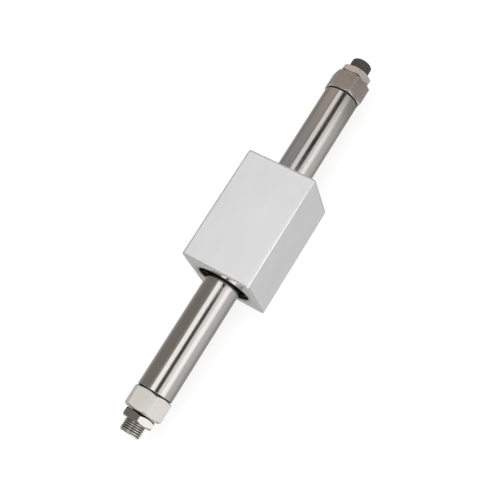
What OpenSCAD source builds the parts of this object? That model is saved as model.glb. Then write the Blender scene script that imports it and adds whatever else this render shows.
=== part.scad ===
// Rodless pneumatic cylinder: a free piston in a closed tube drags a slider along it by magnets.
// Origin on the tube's axis at its middle, +X along the tube, +Z out of the slider's plain top.

/* [Stroke] */
// Travel of the slider
stroke = 100; // [30:5:300]
// Where the slider stands, from the middle of its travel
slider_at = 4; // [-12:1:12]
// Room between slider and head cover at the end of the travel
end_room = 2.5; // [2:0.5:8]

/* [Tube] */
// Bore of the tube
tube_bore = 15; // [14.5:0.5:16]
// Wall of the tube
tube_wall = 1; // [0.8:0.1:1.3]
// Bevel inside each end of the tube
tube_bevel = 0.3; // [0.1:0.1:0.5]

/* [Head covers] */
// Width of the hexagon across its flats
cover_af = 17; // [16:0.5:20]
// Length of the hexagon
cover_l = 10; // [8:0.5:16]
// Turn of the rear hexagon about the axis
rear_cover_turn = 0; // [0:1:59]
// Turn of the front hexagon about the axis
front_cover_turn = 0; // [0:1:59]
// Depth that the hexagon's corners lose to the lathe
hex_bevel = 0.5; // [0.3:0.1:0.8]
// Length of the neck between hexagon and tube
neck_l = 0.5; // [0.3:0.1:1.5]
// Depth of the neck under the tube's surface
neck_depth = 0.6; // [0.3:0.1:1]
// Length of the spigot inside the tube
spigot_l = 6; // [5:0.5:7]
// Diameter of the air passage through the cover
passage_d = 3; // [2:0.2:3.8]
// Thickness of the tube gasket
gasket_d = 1.2; // [1:0.1:1.6]
// Distance of the gasket from the tube's end
gasket_at = 2.6; // [2:0.1:3]

/* [Threaded noses] */
// Outside diameter of the thread
nose_d = 10; // [9:0.5:12]
// Length of the nose
nose_l = 10; // [8:0.5:20]
// Bevel at the nose's tip
nose_bevel = 0.6; // [0.3:0.1:1]
// Depth of the relief groove at the nose's root, inside the nut
relief_depth = 0.6; // [0.4:0.1:0.8]
// Depth of the thread down to its pitch diameter
thread_mid = 0.32; // [0.2:0.02:0.36]
// Drilled diameter of the air port
port_d = 4.2; // [4:0.1:5]
// Depth of the air port
port_l = 7; // [5:0.5:9]
// Bevel at the port's mouth
port_bevel = 0.4; // [0.2:0.1:0.6]

/* [Mounting nuts] */
// Width of the nut across its flats
nut_af = 14; // [13:0.5:17]
// Thickness of the nut
nut_l = 4; // [3:0.5:5]
// Gap between hexagon and nut
nut_gap = 0.3; // [0.3:0.1:2]
// Turn of the rear nut about the axis
rear_nut_turn = 52; // [0:1:59]
// Turn of the front nut about the axis
front_nut_turn = 57; // [0:1:59]
// Bevel at both mouths of the nut's bore
nut_lead = 0.3; // [0.2:0.1:0.5]

/* [Slider body] */
// Length along the tube
slider_l = 57; // [48:1:80]
// Width across the tube
slider_w = 35; // [31:0.5:45]
// Height
slider_h = 35; // [31:0.5:45]
// Bevel along all outer edges
slider_bevel = 0.7; // [0.2:0.1:1]
// Through bore
slider_bore = 26; // [25:0.5:28]
// Bevel at the bore's mouths
bore_bevel = 0.3; // [0.2:0.1:1]
// Hole spacing along the tube
hole_x = 35; // [20:1:40]
// Hole spacing across the tube
hole_y = 19; // [16:1:24]
// Drilled diameter of the mounting holes
hole_d = 3.3; // [2.5:0.1:3.5]
// Metal left between the mounting holes and the bore
hole_floor = 1; // [0.4:0.1:1.5]
// Bevel at the holes' mouths
hole_bevel = 0.4; // [0.2:0.1:0.6]

/* [Magnetic coupling] */
// Magnets in each stack
magnets = 4; // [2:1:4]
// Thickness of a yoke
yoke_t = 2.5; // [1.5:0.25:3]
// How far magnets stand back behind the yokes
magnet_back = 0.15; // [0.1:0.05:0.5]
// Diameter of the piston shaft
shaft_d = 5; // [4:0.5:6]

/* [Slider ends] */
// Length of the attachment ring
attachment_l = 6.75; // [6:0.25:8]
// Thickness of the spacer beside the stack
spacer_t = 3; // [2:0.25:3.5]
// Width of the slider's wear ring
slider_ring_w = 2.6; // [2:0.1:3]
// Thickness of the slider's wear ring
slider_ring_t = 1.2; // [0.8:0.1:1.6]
// Width of the lube retainer
lube_w = 1.2; // [0.8:0.1:1.4]
// Length of the scraper in its seat
scraper_l = 1.8; // [1.4:0.1:2.2]
// Radial thickness of lube retainer and scraper
lip_seat = 2.4; // [2:0.1:2.8]
// Radial thickness of the scraper's lip where it leaves the seat
lip_t = 0.9; // [0.6:0.1:1.2]
// Reach of the scraper's lip out of its seat
lip_out = 0.5; // [0.2:0.1:0.8]
// Thickness of the retaining ring
clip_t = 1.2; // [1:0.1:1.4]
// Distance of the retaining ring from the end face
clip_inset = 1.3; // [1:0.1:2]
// Depth of the retaining ring's groove
clip_depth = 0.7; // [0.5:0.1:1]
// Widest radial section of the retaining ring
clip_wide = 2.7; // [2.3:0.1:3.2]
// Narrowest radial section of the retaining ring
clip_narrow = 1.5; // [1.2:0.1:1.9]
// Half angle of the retaining ring's gap
clip_gap = 15; // [12:1:24]
// Hole in each lug, for the pliers
clip_hole_d = 1.7; // [1.4:0.1:2]
// Turn of the retaining ring's gap about the axis
clip_turn = 14; // [0:1:359]

/* [Piston] */
// Width of a piston seal
seal_w = 1.6; // [1.3:0.1:1.8]
// Depth of a piston seal's groove
seal_depth = 1.5; // [1.2:0.1:1.7]
// Width of a piston wear ring
ring_w = 2; // [1.6:0.1:2.2]
// Thickness of a piston wear ring
ring_t = 0.9; // [0.7:0.1:1.1]
// Gap of a split ring
split_gap = 0.6; // [0.4:0.1:1]
// Diameter of a spring pin
pin_d = 1.2; // [1:0.1:1.4]
// Metal between the shaft's end and the piston's face
piston_floor = 1; // [0.8:0.1:1.5]
// Thickness of a bumper
bumper_t = 1.5; // [1:0.25:2]

/* [Clearances] */
// Radial gap of a ring that runs on the tube
run_gap = 0.05; // [0.02:0.01:0.09]
// Radial gap of what must not touch the tube
free_gap = 0.35; // [0.3:0.05:0.5]
// Radial gap between pieces that are put together
seat_gap = 0.02; // [0.01:0.01:0.05]
// Gap between piston and bumper at the end of the travel
stop_gap = 0.3; // [0.3:0.1:1]

/* [Hidden] */
$fn = 96;
// Slopes of the lathe cut on hexagon corners and of a 118 degree drill's point
hex_slope = tan(30);
drill_slope = tan(31);
// Bevel of turned inner pieces, and how far a cutting shape runs past what it cuts
small_bevel = 0.4;
past = 1;
tube_ir = tube_bore / 2;
tube_or = tube_ir + tube_wall;
slider_r = slider_bore / 2;
nose_r = nose_d / 2;
// Places along the axis, from the tube's middle
tube_end = stroke / 2 + slider_l / 2 + end_room;
hex_in = tube_end + neck_l;
hex_out = hex_in + cover_l;
nose_tip = hex_out + nose_l;
bumper_out = tube_end - spigot_l;
bumper_in = bumper_out - bumper_t;
nut_in = hex_out + nut_gap;
nut_out = nut_in + nut_l;
// Places along the axis, from the middle of slider and piston
clip_out = slider_l / 2 - clip_inset;
clip_in = clip_out - clip_t;
spacer_out = clip_in - attachment_l;
stack_end = spacer_out - spacer_t;
magnet_t = (2 * stack_end - (magnets + 1) * yoke_t) / magnets;
stack_pitch = magnet_t + yoke_t;
scraper_in = clip_in - scraper_l;
lube_in = scraper_in - lube_w;
piston_end = bumper_in - stroke / 2 - stop_gap;
piston_l = piston_end - stack_end;
piston_land = (piston_l - seal_w - ring_w) / 3;
ring_at = stack_end + piston_land;
seal_at = ring_at + ring_w + piston_land;
pin_at = ring_at + ring_w / 2;
shaft_end = piston_end - piston_floor;
// Radii
gasket_floor = tube_ir - gasket_d;
seal_floor = tube_ir - seal_depth;
ring_floor = tube_ir - run_gap - ring_t - seat_gap;
slider_ring_or = tube_or + run_gap + slider_ring_t;
lip_or = tube_or + run_gap + lip_seat;
lip_ir = tube_or + run_gap;
clip_or = slider_r + clip_depth - seat_gap;
lug_ir = lip_ir + lip_t + free_gap;
lug_r = (slider_r - seat_gap - lug_ir) / 2;
lug_at = lug_ir + lug_r;
// Depth of the mounting holes: the wall under their inner edge, less the metal left
hole_edge = (hole_y - hole_d) / 2;
hole_l = slider_h / 2 - sqrt(pow(slider_r, 2) - pow(hole_edge, 2)) - hole_floor;

ends = ["rear", "front"];

// ---- shared shapes ----

// Turns what is drawn up +Z so that it points along +X
module along_x() {
    rotate([0, 90, 0]) children();
}

// Puts an end's pieces, drawn for the front, at the rear or front end
module at_end(e) {
    if (e == "front") along_x() children();
    else mirror([1, 0, 0]) along_x() children();
}

// Moves along with slider and piston
module moved() {
    translate([slider_at, 0, 0]) children();
}

// A plain ring from z0 to z1
module ring(ri, ro, z0, z1) {
    translate([0, 0, z0]) difference() {
        cylinder(h = z1 - z0, r = ro);
        translate([0, 0, -past]) cylinder(h = z1 - z0 + 2 * past, r = ri);
    }
}

// Hexagonal prism from z0 to z1, its corners turned down by a 30 degree lathe cut
module hexagon(af, z0, z1, cut0, cut1, turn) {
    corner = af / sqrt(3);
    wide = corner + past;
    r0 = af / 2 - cut0;
    r1 = af / 2 - cut1;
    intersection() {
        translate([0, 0, z0]) rotate([0, 0, turn]) cylinder(h = z1 - z0, r = corner, $fn = 6);
        rotate_extrude() polygon([
            [0, z0], [r0, z0], [wide, z0 + (wide - r0) * hex_slope],
            [wide, z1 - (wide - r1) * hex_slope], [r1, z1], [0, z1]]);
    }
}

// Turn before along_x of what shall lie at an angle from +Y about the axis
function turned(a) = a + 90;

// A band that runs in a groove, with a slanted split
module split_band(ri, ro, z0, z1, turn) {
    mid = (ri + ro) / 2;
    difference() {
        ring(ri, ro, z0, z1);
        rotate([0, 0, turn]) translate([mid, 0, (z0 + z1) / 2]) rotate([30, 0, 0])
            cube([2 * (ro - ri + past), split_gap, 3 * (z1 - z0)], center = true);
    }
}

// ---- cylinder: tube, head covers and what they hold ----

module cylinder_tube() {
    color("gainsboro") along_x() rotate_extrude() polygon([
        [tube_ir + tube_bevel, -tube_end], [tube_or, -tube_end],
        [tube_or, tube_end], [tube_ir + tube_bevel, tube_end],
        [tube_ir, tube_end - tube_bevel], [tube_ir, -tube_end + tube_bevel]]);
}

// Spigot with its gasket groove, neck and nose, as one turned form. The nose has the thread's
// outside diameter where it is free, and its pitch diameter where the nut's thread holds it.
module cover_turned() {
    sr = tube_ir - seat_gap;
    neck_r = tube_or - neck_depth;
    root_r = nose_r - relief_depth;
    engaged_r = nose_r - thread_mid;
    groove_w = gasket_d * 1.4;
    groove_in = tube_end - gasket_at - groove_w / 2;
    groove_out = groove_in + groove_w;
    rotate_extrude() polygon([
        [0, bumper_out], [sr - tube_bevel, bumper_out], [sr, bumper_out + tube_bevel],
        [sr, groove_in], [gasket_floor, groove_in], [gasket_floor, groove_out], [sr, groove_out],
        [sr, tube_end], [neck_r, tube_end], [neck_r, hex_in + past], [root_r, hex_in + past],
        [root_r, nut_in], [engaged_r, nut_in], [engaged_r, nut_out + nut_lead],
        [nose_r, nut_out + nut_lead], [nose_r, nose_tip - nose_bevel],
        [nose_r - nose_bevel, nose_tip], [0, nose_tip]]);
}

module head_cover(e) {
    turn = e == "front" ? front_cover_turn : rear_cover_turn;
    port_r = port_d / 2;
    color("silver") at_end(e) difference() {
        union() {
            cover_turned();
            hexagon(cover_af, hex_in, hex_out, hex_bevel, hex_bevel, turned(turn));
        }
        translate([0, 0, bumper_out - past]) cylinder(h = nose_tip - bumper_out, d = passage_d);
        translate([0, 0, nose_tip - port_l]) cylinder(h = port_l + past, r = port_r);
        translate([0, 0, nose_tip - port_l - port_r * drill_slope])
            cylinder(h = port_r * drill_slope, r1 = 0, r2 = port_r);
        translate([0, 0, nose_tip - port_bevel])
            cylinder(h = port_bevel + past, r1 = port_r, r2 = port_r + port_bevel + past);
    }
}

module mounting_nut(e) {
    bore_r = nose_r - thread_mid + seat_gap;
    mouth_r = bore_r + 2 * nut_lead;
    turn = e == "front" ? front_nut_turn : rear_nut_turn;
    color("lightgray") at_end(e) difference() {
        hexagon(nut_af, nut_in, nut_out, hex_bevel, hex_bevel, turned(turn));
        translate([0, 0, nut_in - past]) cylinder(h = nut_l + 2 * past, r = bore_r);
        translate([0, 0, nut_in - nut_lead]) cylinder(h = 2 * nut_lead, r1 = mouth_r, r2 = bore_r);
        translate([0, 0, nut_out - nut_lead]) cylinder(h = 2 * nut_lead, r1 = bore_r, r2 = mouth_r);
    }
}

// Round rubber ring, as thick as its groove leaves room for
module tube_gasket(e) {
    color("black") at_end(e) translate([0, 0, tube_end - gasket_at]) rotate_extrude()
        translate([(gasket_floor + tube_ir) / 2, 0]) circle(d = gasket_d - 2 * seat_gap, $fn = 32);
}

// Rubber disc glued to the spigot's face, open for the air passage, with a raised rim
module bumper(e) {
    rim = bumper_t / 3;
    ri = passage_d / 2;
    ro = tube_ir - free_gap;
    mid = (ri + ro) / 2;
    color("dimgray") at_end(e) rotate_extrude() polygon([
        [ri, bumper_in + rim], [mid - rim, bumper_in + rim], [mid, bumper_in],
        [ro - rim, bumper_in], [ro, bumper_in + rim], [ro, bumper_out], [ri, bumper_out]]);
}

// ---- piston: magnets and yokes on one shaft, closed by two ends ----

module piston_shaft() {
    r = shaft_d / 2;
    color("lightgray") moved() along_x() difference() {
        rotate_extrude() polygon([
            [0, -shaft_end], [r - small_bevel, -shaft_end], [r, -shaft_end + small_bevel],
            [r, shaft_end - small_bevel], [r - small_bevel, shaft_end], [0, shaft_end]]);
        for (side = [-1, 1]) translate([0, 0, side * pin_at]) rotate([90, 0, 0])
            cylinder(h = shaft_d + 2 * past, d = pin_d + 2 * seat_gap, center = true);
    }
}

// End of the piston: a groove for the wear ring, one for the seal, a blind bore for the shaft
module piston(e) {
    pr = tube_ir - free_gap;
    bore_r = shaft_d / 2 + seat_gap;
    bore_end = shaft_end + seat_gap;
    color("silver") moved() at_end(e) difference() {
        rotate_extrude() polygon([
            [bore_r, stack_end], [pr - small_bevel, stack_end], [pr, stack_end + small_bevel],
            [pr, ring_at], [ring_floor, ring_at], [ring_floor, ring_at + ring_w],
            [pr, ring_at + ring_w], [pr, seal_at], [seal_floor, seal_at],
            [seal_floor, seal_at + seal_w], [pr, seal_at + seal_w],
            [pr, piston_end - small_bevel], [pr - small_bevel, piston_end],
            [0, piston_end], [0, bore_end], [bore_r, bore_end]]);
        translate([0, 0, pin_at]) rotate([90, 0, 0])
            cylinder(h = tube_bore, d = pin_d + 2 * seat_gap, center = true);
    }
}

// Slotted roll pin through piston end and shaft, under the wear ring
module spring_pin(e) {
    pin_l = 2 * (ring_floor - free_gap);
    slot_w = pin_d / 5;
    color("darkgray") moved() at_end(e) translate([0, 0, pin_at]) rotate([90, 0, 0])
        difference() {
            cylinder(h = pin_l, d = pin_d, center = true);
            cylinder(h = pin_l + 2 * past, d = pin_d / 2, center = true);
            translate([pin_d / 2, 0, 0]) cube([pin_d, slot_w, pin_l + 2 * past], center = true);
        }
}

// Rubber seal: a heel clear of the tube, and two lips parted by a notch on its pressure side
module piston_seal(e) {
    s0 = seal_at + seat_gap;
    s1 = seal_at + seal_w - seat_gap;
    ri = seal_floor + seat_gap;
    ro = tube_ir - run_gap;
    mid = (ri + ro) / 2;
    notch = (ro - ri) / 8;
    heel = 0.25;
    color("black") moved() at_end(e) rotate_extrude() polygon([
        [ri, s0], [ro - heel, s0], [ro - heel, s0 + heel], [ro, s1 - heel], [ro - notch, s1],
        [mid + notch, s1], [mid, s1 - 4 * notch], [mid - notch, s1], [ri, s1]]);
}

module piston_wear_ring(e) {
    color("dimgray") moved() at_end(e)
        split_band(ring_floor + seat_gap, tube_ir - run_gap,
            ring_at + seat_gap, ring_at + ring_w - seat_gap, 45);
}

// ---- the two stacks that pull each other through the tube ----

// Place of a magnet's or a yoke's lower face along the axis
function magnet_z(i) = -stack_end + yoke_t + (i - 1) * stack_pitch;
function yoke_z(i) = -stack_end + (i - 1) * stack_pitch;

module piston_magnet(i) {
    color("slategray") moved() along_x()
        ring(shaft_d / 2 + seat_gap, tube_ir - free_gap - magnet_back,
            magnet_z(i), magnet_z(i) + magnet_t);
}

module piston_yoke(i) {
    color("darkgray") moved() along_x()
        ring(shaft_d / 2 + seat_gap, tube_ir - free_gap, yoke_z(i), yoke_z(i) + yoke_t);
}

module slider_magnet(i) {
    color("slategray") moved() along_x()
        ring(tube_or + free_gap + magnet_back, slider_r - seat_gap,
            magnet_z(i), magnet_z(i) + magnet_t);
}

module slider_yoke(i) {
    color("darkgray") moved() along_x()
        ring(tube_or + free_gap, slider_r - seat_gap, yoke_z(i), yoke_z(i) + yoke_t);
}

// ---- slider: body and the ring pack that closes each end ----

// Block with all its outer edges bevelled, as three crossed bars
module bevelled_block(l, w, h, b) {
    module bar(x, y, z) {
        linear_extrude(z, center = true) polygon([
            [-x / 2 + b, -y / 2], [x / 2 - b, -y / 2], [x / 2, -y / 2 + b], [x / 2, y / 2 - b],
            [x / 2 - b, y / 2], [-x / 2 + b, y / 2], [-x / 2, y / 2 - b], [-x / 2, -y / 2 + b]]);
    }
    intersection() {
        bar(l, w, h);
        rotate([90, 0, 0]) bar(l, h, w);
        along_x() bar(h, w, l);
    }
}

// Tapped hole up into the underside: drill point, wall and bevelled mouth
module mounting_hole() {
    r = hole_d / 2;
    cylinder(h = hole_l, r = r);
    translate([0, 0, hole_l]) cylinder(h = r * drill_slope, r1 = r, r2 = 0);
    translate([0, 0, -past]) cylinder(h = past + hole_bevel, r1 = r + hole_bevel + past, r2 = r);
}

module slider_body() {
    half = slider_l / 2;
    groove_r = slider_r + clip_depth;
    groove_out = clip_out + seat_gap;
    mouth_r = slider_r + bore_bevel + past;
    color("gainsboro") moved() difference() {
        bevelled_block(slider_l, slider_w, slider_h, slider_bevel);
        along_x() rotate_extrude() polygon([
            [0, -half - past], [mouth_r, -half - past], [slider_r, -half + bore_bevel],
            [slider_r, -groove_out], [groove_r, -groove_out], [groove_r, -clip_in], [slider_r, -clip_in],
            [slider_r, clip_in], [groove_r, clip_in], [groove_r, groove_out], [slider_r, groove_out],
            [slider_r, half - bore_bevel], [mouth_r, half + past], [0, half + past]]);
        for (x = [-1, 1], y = [-1, 1])
            translate([x * hole_x / 2, y * hole_y / 2, -slider_h / 2]) mounting_hole();
    }
}

module spacer(e) {
    color("darkgray") moved() at_end(e)
        ring(tube_or + free_gap, slider_r - seat_gap, stack_end, spacer_out);
}

// Stepped ring: wear ring's seat inside, land, then the seat of lube retainer and scraper
module attachment_ring(e) {
    ro = slider_r - seat_gap;
    ring_seat = slider_ring_or + seat_gap;
    lip_seat_r = lip_or + seat_gap;
    land = tube_or + free_gap;
    ring_out = spacer_out + slider_ring_w;
    color("dimgray") moved() at_end(e) rotate_extrude() polygon([
        [ring_seat, spacer_out], [ro, spacer_out], [ro, clip_in - small_bevel],
        [ro - small_bevel, clip_in], [lip_seat_r, clip_in], [lip_seat_r, lube_in],
        [land, lube_in], [land, ring_out], [ring_seat, ring_out]]);
}

module slider_wear_ring(e) {
    color("burlywood") moved() at_end(e)
        split_band(lip_ir, slider_ring_or, spacer_out, spacer_out + slider_ring_w, clip_turn);
}

// Oiled felt ring at the bottom of the scraper's seat
module lube_retainer(e) {
    color("tan") moved() at_end(e) ring(lip_ir, lip_or, lube_in, scraper_in);
}

// Rubber scraper: heel in the seat and one lip that leans outwards onto the tube
module scraper(e) {
    tip = lip_t / 3;
    top = clip_in + lip_out;
    color("black") moved() at_end(e) rotate_extrude() polygon([
        [lip_ir + 2 * tip, scraper_in], [lip_or, scraper_in], [lip_or, clip_in - tip],
        [lip_or - tip, clip_in], [lip_ir + lip_t, clip_in], [lip_ir + tip, top],
        [lip_ir, top], [lip_ir, top - tip], [lip_ir + 2 * tip, clip_in - tip]]);
}

// Spring steel clip: widest across from its gap, thin towards two drilled lugs
module retaining_ring(e) {
    ri = clip_or - (clip_wide + clip_narrow) / 2;
    shift = (clip_wide - clip_narrow) / 2;
    reach = 2 * slider_r;
    lug_turn = clip_gap + asin(lug_r / lug_at) / 2;
    module at_lugs() {
        for (side = [-1, 1]) rotate([0, 0, side * lug_turn]) translate([lug_at, 0]) children();
    }
    color("dimgray") moved() at_end(e) translate([0, 0, clip_in]) rotate([0, 0, turned(clip_turn)])
        linear_extrude(clip_t) difference() {
            union() {
                difference() {
                    circle(r = clip_or);
                    translate([shift, 0]) circle(r = ri);
                    polygon([[0, 0], [reach * cos(clip_gap), -reach * sin(clip_gap)], [reach, 0],
                        [reach * cos(clip_gap), reach * sin(clip_gap)]]);
                }
                at_lugs() circle(r = lug_r, $fn = 48);
            }
            at_lugs() circle(d = clip_hole_d, $fn = 32);
        }
}

// ---- what is drawn ----

cylinder_tube();
slider_body();
piston_shaft();
for (e = ends) {
    head_cover(e);
    mounting_nut(e);
    tube_gasket(e);
    bumper(e);
    piston(e);
    piston_seal(e);
    piston_wear_ring(e);
    spring_pin(e);
    spacer(e);
    attachment_ring(e);
    slider_wear_ring(e);
    lube_retainer(e);
    scraper(e);
    retaining_ring(e);
}
for (i = [1:magnets]) {
    slider_magnet(i);
    piston_magnet(i);
}
for (i = [1:magnets + 1]) {
    slider_yoke(i);
    piston_yoke(i);
}
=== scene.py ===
import math
import bpy
import numpy as np
from mathutils import Matrix, Vector


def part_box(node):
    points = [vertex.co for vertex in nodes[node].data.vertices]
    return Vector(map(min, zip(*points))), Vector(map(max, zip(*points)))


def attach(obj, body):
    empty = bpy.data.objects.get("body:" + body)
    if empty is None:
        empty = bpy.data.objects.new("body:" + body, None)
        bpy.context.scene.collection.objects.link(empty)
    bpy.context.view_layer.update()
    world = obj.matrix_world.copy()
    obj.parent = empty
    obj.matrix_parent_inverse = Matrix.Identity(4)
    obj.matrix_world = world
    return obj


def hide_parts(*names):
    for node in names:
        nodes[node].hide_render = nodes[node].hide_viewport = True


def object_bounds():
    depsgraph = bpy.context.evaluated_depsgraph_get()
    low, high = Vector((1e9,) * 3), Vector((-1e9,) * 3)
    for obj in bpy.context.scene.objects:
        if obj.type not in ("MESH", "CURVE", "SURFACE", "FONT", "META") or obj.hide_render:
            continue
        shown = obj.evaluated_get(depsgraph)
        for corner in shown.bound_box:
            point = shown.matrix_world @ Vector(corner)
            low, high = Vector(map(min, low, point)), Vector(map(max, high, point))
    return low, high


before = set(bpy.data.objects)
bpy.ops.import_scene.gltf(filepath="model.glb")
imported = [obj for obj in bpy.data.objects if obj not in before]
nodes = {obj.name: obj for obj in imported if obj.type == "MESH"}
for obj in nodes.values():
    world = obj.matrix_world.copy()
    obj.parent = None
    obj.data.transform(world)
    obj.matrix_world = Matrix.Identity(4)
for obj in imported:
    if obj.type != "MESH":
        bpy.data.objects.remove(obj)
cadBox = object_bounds()
mm = 0.001

cameraView = {
    "place": (-99.3, -153.5, 384.1),   # mm from the middle of the tube
    "aim": (-4.8, -2.0, 0.0),          # what the middle of the frame looks at
    "up": (0.8245, 0.4270, 0.3713),    # leans the cylinder across the frame
    "lens": 67.7, "sensor": 36,        # mm
    "near": 0.01, "far": 50,           # metres
}
floorLook = {
    "radius": 6.0,                     # metres
    "rings": (0.02, 0.2, 1.0),         # shares of the radius
    "albedo": 0.28,
    "glow": 0.78,                      # a light table: the floor gives some light itself
    "backdrop": 8.0,                   # metres, the pale sphere that only the camera sees
    "backdropGlow": 0.97,
    "around": 96, "bands": 25,         # points round both, and rings up the sphere
    "topAngle": 1.5,                   # radians, where the sphere's caps begin
    "rough": 0.9,
}
panelDistance = 1.4                    # metres, where a panel names none
panels = {
    # angle about the tube, 0 on the +Y side and 90 overhead; spread in degrees; reach along X and
    # distance in metres. The soft panels only light what is dull, the others are only mirrored.
    "topPanel": {"angle": 90.5, "spread": 27.4, "level": 1.25, "from": -1.6, "to": 0.36},
    "topFar": {"angle": 88.9, "spread": 26.0, "level": 0.86, "from": 0.36, "to": 0.74},
    "sidePanel": {"angle": 157, "spread": 22, "level": 1.14, "from": -1.6, "to": 0.48},
    "sideFar": {"angle": 155, "spread": 18, "level": 0.9, "from": 0.48, "to": 0.68},
    "sideEdge": {"angle": 172, "spread": 8, "level": 0.8, "from": -0.05, "to": 0.48},
    "sideEdgeFar": {"angle": 170, "spread": 12, "level": 0.5, "from": 0.48, "to": 0.64},
    "fillPanel": {"angle": 136, "spread": 20, "level": 0.82, "distance": 1.5,
                  "from": -1.6, "to": 0.48},
    "fillFar": {"angle": 137.3, "spread": 17.4, "level": 0.7, "distance": 1.5,
                "from": 0.48, "to": 0.76},
    "nutGlow": {"angle": 172, "spread": 8, "level": 1.4, "from": -1.6, "to": -0.05},
    "edgeGlow": {"angle": 115, "spread": 20, "level": 2.4, "from": 0.28, "to": 0.42},
    "farGlow": {"angle": 35, "spread": 60, "level": 0.1, "distance": 1.6,
                "from": 0.35, "to": 2.0},
    "softTop": {"angle": 95, "spread": 76, "level": 1.94, "distance": 1.7,
                "from": -1.3, "to": 1.3, "soft": True},
    "softSide": {"angle": 165, "spread": 50, "level": 0.58, "distance": 1.7,
                 "from": -1.3, "to": 1.3, "soft": True},
}
room = {
    # What stands round the tube at each angle: pale table below, dim wall on the +Y side. "near"
    # is everywhere; each next row covers it as a direction's share of X goes from start to full.
    "near": {"stops": [
        (-180, (0.70, 0.69, 0.68)), (-150, (0.62, 0.61, 0.60)), (-120, (0.37, 0.36, 0.35)),
        (-60, (0.46, 0.455, 0.45)), (-36, (0.48, 0.475, 0.47)), (-18, (0.34, 0.325, 0.31)),
        (-4, (0.26, 0.235, 0.215)), (56, (0.24, 0.217, 0.198)), (64, (0.25, 0.227, 0.208)),
        (72, (0.40, 0.375, 0.355)), (78, (0.12, 0.105, 0.095)), (122, (0.05, 0.04, 0.033)),
        (140, (0.20, 0.19, 0.18)), (172, (0.30, 0.29, 0.28)), (180, (0.70, 0.69, 0.68))]},
    "middle": {"start": 0.2, "full": 0.33, "share": 1.0, "stops": [
        (-180, (0.70, 0.69, 0.68)), (-150, (0.62, 0.61, 0.60)), (-120, (0.37, 0.36, 0.35)),
        (-60, (0.46, 0.455, 0.45)), (-36, (0.48, 0.475, 0.47)), (-18, (0.33, 0.325, 0.32)),
        (-4, (0.255, 0.248, 0.245)), (56, (0.245, 0.238, 0.235)), (64, (0.245, 0.238, 0.235)),
        (72, (0.37, 0.362, 0.355)), (78, (0.10, 0.095, 0.09)), (110, (0.025, 0.02, 0.017)),
        (122, (0.025, 0.02, 0.017)), (140, (0.20, 0.19, 0.18)), (180, (0.70, 0.69, 0.68))]},
    "far": {"start": 0.375, "full": 0.4, "share": 0.96, "stops": [
        (-180, (0.15, 0.125, 0.105)), (-110, (0.25, 0.22, 0.20)), (-75, (0.36, 0.36, 0.37)),
        (-35, (0.36, 0.36, 0.37)), (0, (0.30, 0.25, 0.21)), (45, (0.46, 0.355, 0.275)),
        (90, (0.46, 0.355, 0.275)), (106, (0.05, 0.04, 0.035)), (122, (0.05, 0.04, 0.035)),
        (140, (0.15, 0.125, 0.105))]},
    "along": {"start": 0.46, "full": 0.6, "share": 1.0, "stops": [
        (-180, (0.70, 0.69, 0.68)), (-150, (0.62, 0.61, 0.60)), (-120, (0.42, 0.415, 0.41)),
        (-75, (0.48, 0.475, 0.47)), (-35, (0.36, 0.355, 0.35)), (0, (0.27, 0.265, 0.26)),
        (45, (0.33, 0.325, 0.32)), (80, (0.27, 0.265, 0.26)), (106, (0.08, 0.078, 0.075)),
        (122, (0.06, 0.058, 0.055)), (140, (0.25, 0.245, 0.24)), (180, (0.70, 0.69, 0.68))]},
    "behind": {"start": -0.5, "full": -0.8, "share": 0.9, "stops": [
        (-180, (0.90, 0.89, 0.88)), (-100, (0.90, 0.89, 0.88)), (-70, (0.50, 0.49, 0.48)),
        (-40, (0.36, 0.35, 0.34)), (50, (0.30, 0.285, 0.27)), (72, (0.85, 0.84, 0.83)),
        (102, (0.85, 0.84, 0.83)), (116, (0.25, 0.24, 0.23)), (140, (0.80, 0.79, 0.78))]},
}


# Stands at place and looks at aim: its back runs from aim to place, its right is up cross back
def aimedMatrix(place, aim, up):
    back = (Vector(place) - Vector(aim)).normalized()
    right = Vector(up).cross(back).normalized()
    top = back.cross(right)
    turn = Matrix((right, top, back)).transposed().to_4x4()
    return Matrix.Translation(Vector(place)) @ turn


def makeCamera():
    data = bpy.data.cameras.new("camera")
    data.lens = cameraView["lens"]
    data.sensor_width = cameraView["sensor"]
    data.clip_start, data.clip_end = cameraView["near"], cameraView["far"]
    camera = bpy.data.objects.new("camera", data)
    bpy.context.scene.collection.objects.link(camera)
    place = Vector(cameraView["place"]) * mm
    aim = Vector(cameraView["aim"]) * mm
    camera.matrix_world = aimedMatrix(place, aim, cameraView["up"])
    bpy.context.scene.camera = camera


# A panel stands at its angle about the X axis and faces the tube. Its width is twice its distance
# times the tangent of half its spread, and its power is its level times pi times its area.
def makePanel(name, look):
    angle = math.radians(look["angle"])
    distance = look.get("distance", panelDistance)
    across = Vector((0, math.cos(angle), math.sin(angle))) * distance
    middle = Vector(((look["from"] + look["to"]) / 2, 0, 0))
    wide = 2 * distance * math.tan(math.radians(look["spread"] / 2))
    data = bpy.data.lights.new(name, "AREA")
    data.shape = "RECTANGLE"
    data.size, data.size_y = look["to"] - look["from"], wide
    data.energy = look["level"] * math.pi * data.size * data.size_y
    light = bpy.data.objects.new(name, data)
    bpy.context.scene.collection.objects.link(light)
    light.matrix_world = aimedMatrix(middle + across, middle, Vector((1, 0, 0)).cross(across))
    light.visible_camera = False
    soft = look.get("soft", False)
    light.visible_glossy, light.visible_diffuse = not soft, soft


# A ramp over the whole turn, from -180 degrees at its start to 180 at its end
def roomRamp(tree, source, rows):
    ramp = addNode(tree, "ShaderNodeValToRGB")
    stops = ramp.color_ramp.elements
    while len(stops) < len(rows):
        stops.new(0.5)
    for stop, (degrees, colour) in zip(stops, rows):
        stop.position = (degrees + 180) / 360
        stop.color = (*colour, 1)
    tree.links.new(source, ramp.inputs["Fac"])
    return ramp.outputs["Color"]


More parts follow.
